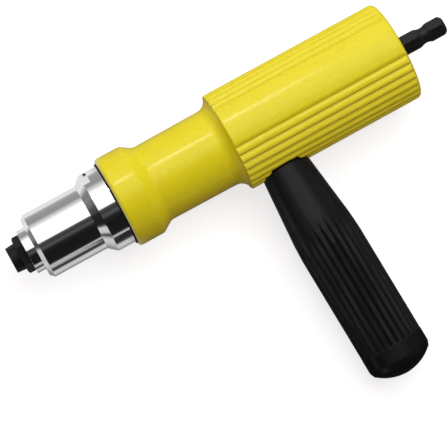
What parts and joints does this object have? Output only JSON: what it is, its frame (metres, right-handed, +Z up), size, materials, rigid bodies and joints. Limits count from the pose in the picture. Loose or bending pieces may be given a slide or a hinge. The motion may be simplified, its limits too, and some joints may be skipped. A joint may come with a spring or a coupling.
{
  "type": "rivet drill adapter",
  "caption": "Hand-drill attachment that pulls blind rivets: hex shank and lead screw, sliding jaws in a plated sleeve, ribbed barrel and side handle.",
  "frame": {"origin": "centre of the nosepiece's front face, on the barrel's axis", "axes": "+X along the barrel from the nosepiece to the hex shank, the handle reaches towards -Y, +Z up as the tool lies on a floor"},
  "size_m": [0.2082, 0.1432, 0.0444],
  "materials": {
    "yellow_paint": "gloss",
    "bright_chrome": "polished",
    "black_oxide": "satin",
    "black_rubber": "matte",
    "black_plastic": "satin",
    "turned_steel": "turned",
    "bearing_steel": "ground",
    "zinc_plate": "zinc plated",
    "bronze": "machined"
  },
  "bodies": {
    "housing": {"body_shell": "yellow_paint", "front_sleeve": "bright_chrome", "sleeve_gasket": "black_rubber", "nosepiece": "black_oxide", "rear_plug": "zinc_plate", "rear_bush": "bronze", "fixed_race": "bearing_steel", "handle_grip": "black_plastic", "handle_stud": "zinc_plate", "handle_washer": "zinc_plate", "handle_cap": "black_plastic"},
    "spindle": {"drive_spindle": "black_oxide", "turning_race": "bearing_steel", "play_washer": "bronze"},
    "cage": {"ball_cage": "bronze", "bearing_balls": "bearing_steel"},
    "puller": {"pull_tube": "turned_steel", "drive_nut": "bronze", "guide_key": "turned_steel", "jaw_case": "turned_steel", "jaw_spring": "zinc_plate"},
    "jaw_a": {"jaw_1": "turned_steel"},
    "jaw_b": {"jaw_2": "turned_steel"},
    "jaw_c": {"jaw_3": "turned_steel"},
    "pusher": {"jaw_pusher": "turned_steel"}
  },
  "joints": [
    {"name": "spindle_turn", "type": "hinge", "parent": "housing", "child": "spindle", "pos_m": [0.165, 0, 0], "axis": [-1, 0, 0], "range_deg": [0, 3600]},
    {"name": "cage_turn", "type": "hinge", "parent": "housing", "child": "cage", "pos_m": [0.1625, 0, 0], "axis": [-1, 0, 0], "range_deg": [0, 1800]},
    {"name": "puller_slide", "type": "slide", "parent": "housing", "child": "puller", "axis": [1, 0, 0], "range_m": [0, 0.02]},
    {"name": "jaw_1_slide", "type": "slide", "parent": "puller", "child": "jaw_a", "axis": [0.9695, -0.0173, 0.2443], "range_m": [0, 0.0025], "stiffness_N_per_m": 2500, "springref_m": -0.003, "deforming": ["jaw_spring"]},
    {"name": "jaw_2_slide", "type": "slide", "parent": "puller", "child": "jaw_b", "axis": [0.9695, -0.203, -0.1371], "range_m": [0, 0.0025]},
    {"name": "jaw_3_slide", "type": "slide", "parent": "puller", "child": "jaw_c", "axis": [0.9695, 0.2202, -0.1072], "range_m": [0, 0.0025]},
    {"name": "pusher_slide", "type": "slide", "parent": "puller", "child": "pusher", "axis": [1, 0, 0], "range_m": [0, 0.00243]}
  ],
  "couplings": [
    {"joint": "spindle_turn", "follows": "puller_slide", "rad_per_m": 3141.6},
    {"joint": "cage_turn", "follows": "puller_slide", "rad_per_m": 1570.8},
    {"joint": "jaw_2_slide", "follows": "jaw_1_slide", "ratio": 1},
    {"joint": "jaw_3_slide", "follows": "jaw_1_slide", "ratio": 1},
    {"joint": "pusher_slide", "follows": "jaw_1_slide", "ratio": 0.96954}
  ]
}
